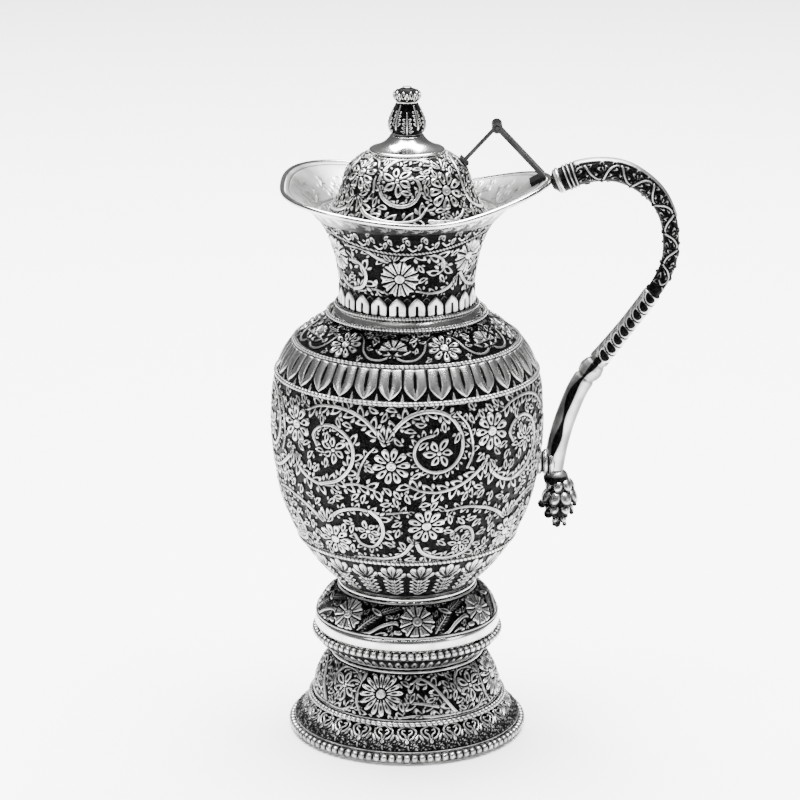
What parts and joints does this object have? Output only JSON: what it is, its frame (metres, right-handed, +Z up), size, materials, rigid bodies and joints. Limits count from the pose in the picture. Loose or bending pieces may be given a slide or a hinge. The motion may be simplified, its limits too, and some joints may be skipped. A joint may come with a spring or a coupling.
{
  "type": "lidded water pitcher",
  "caption": "Tall lidded water pitcher in chased silver: pear body on a spreading foot, waisted neck with a wide pouring brim, hinged bell lid and looped handle.",
  "frame": {"origin": "middle of the underside of the foot, on the axis of the body", "axes": "+Z up, +X towards the handle, -X towards the pouring lip; the lid's hinge axis runs along Y"},
  "size_m": [0.201, 0.1348, 0.3295],
  "materials": {
    "chased_silver": "chased and blackened silver, bright relief over a black ground",
    "polished_silver": "polished silver",
    "matte_silver": "pale matte silver"
  },
  "bodies": {
    "pitcher": {"base_plate": "matte_silver", "base_ring": "polished_silver", "base_bead_ring": "polished_silver", "foot_skirt": "chased_silver", "foot_rope_ring": "polished_silver", "foot_dome": "chased_silver", "knop_underside": "chased_silver", "knop_band": "polished_silver", "knop_bead_ring": "polished_silver", "knop_dome": "chased_silver", "body_collar": "polished_silver", "body_shell": "chased_silver", "neck_collar": "polished_silver", "shoulder_rope_ring": "polished_silver", "neck_rope_ring": "polished_silver", "neck_shell": "chased_silver", "brim": "matte_silver", "brim_edge_wire": "polished_silver", "hinge_post": "polished_silver", "hinge_pin": "polished_silver", "handle_tube": "chased_silver", "handle_root_socket": "chased_silver", "handle_lower_boss": "chased_silver", "handle_terminal": "chased_silver"},
    "lid": {"lid_shell": "chased_silver", "lid_cap": "polished_silver", "lid_bezel": "polished_silver", "finial": "chased_silver", "finial_washer": "polished_silver", "finial_nut": "polished_silver", "lid_arm": "polished_silver", "lid_arm_pad": "polished_silver"}
  },
  "joints": [
    {"name": "lid_hinge", "type": "hinge", "parent": "pitcher", "child": "lid", "pos_m": [0.0437, 0, 0.3099], "axis": [0, 1, 0], "range_deg": [0, 95]}
  ]
}
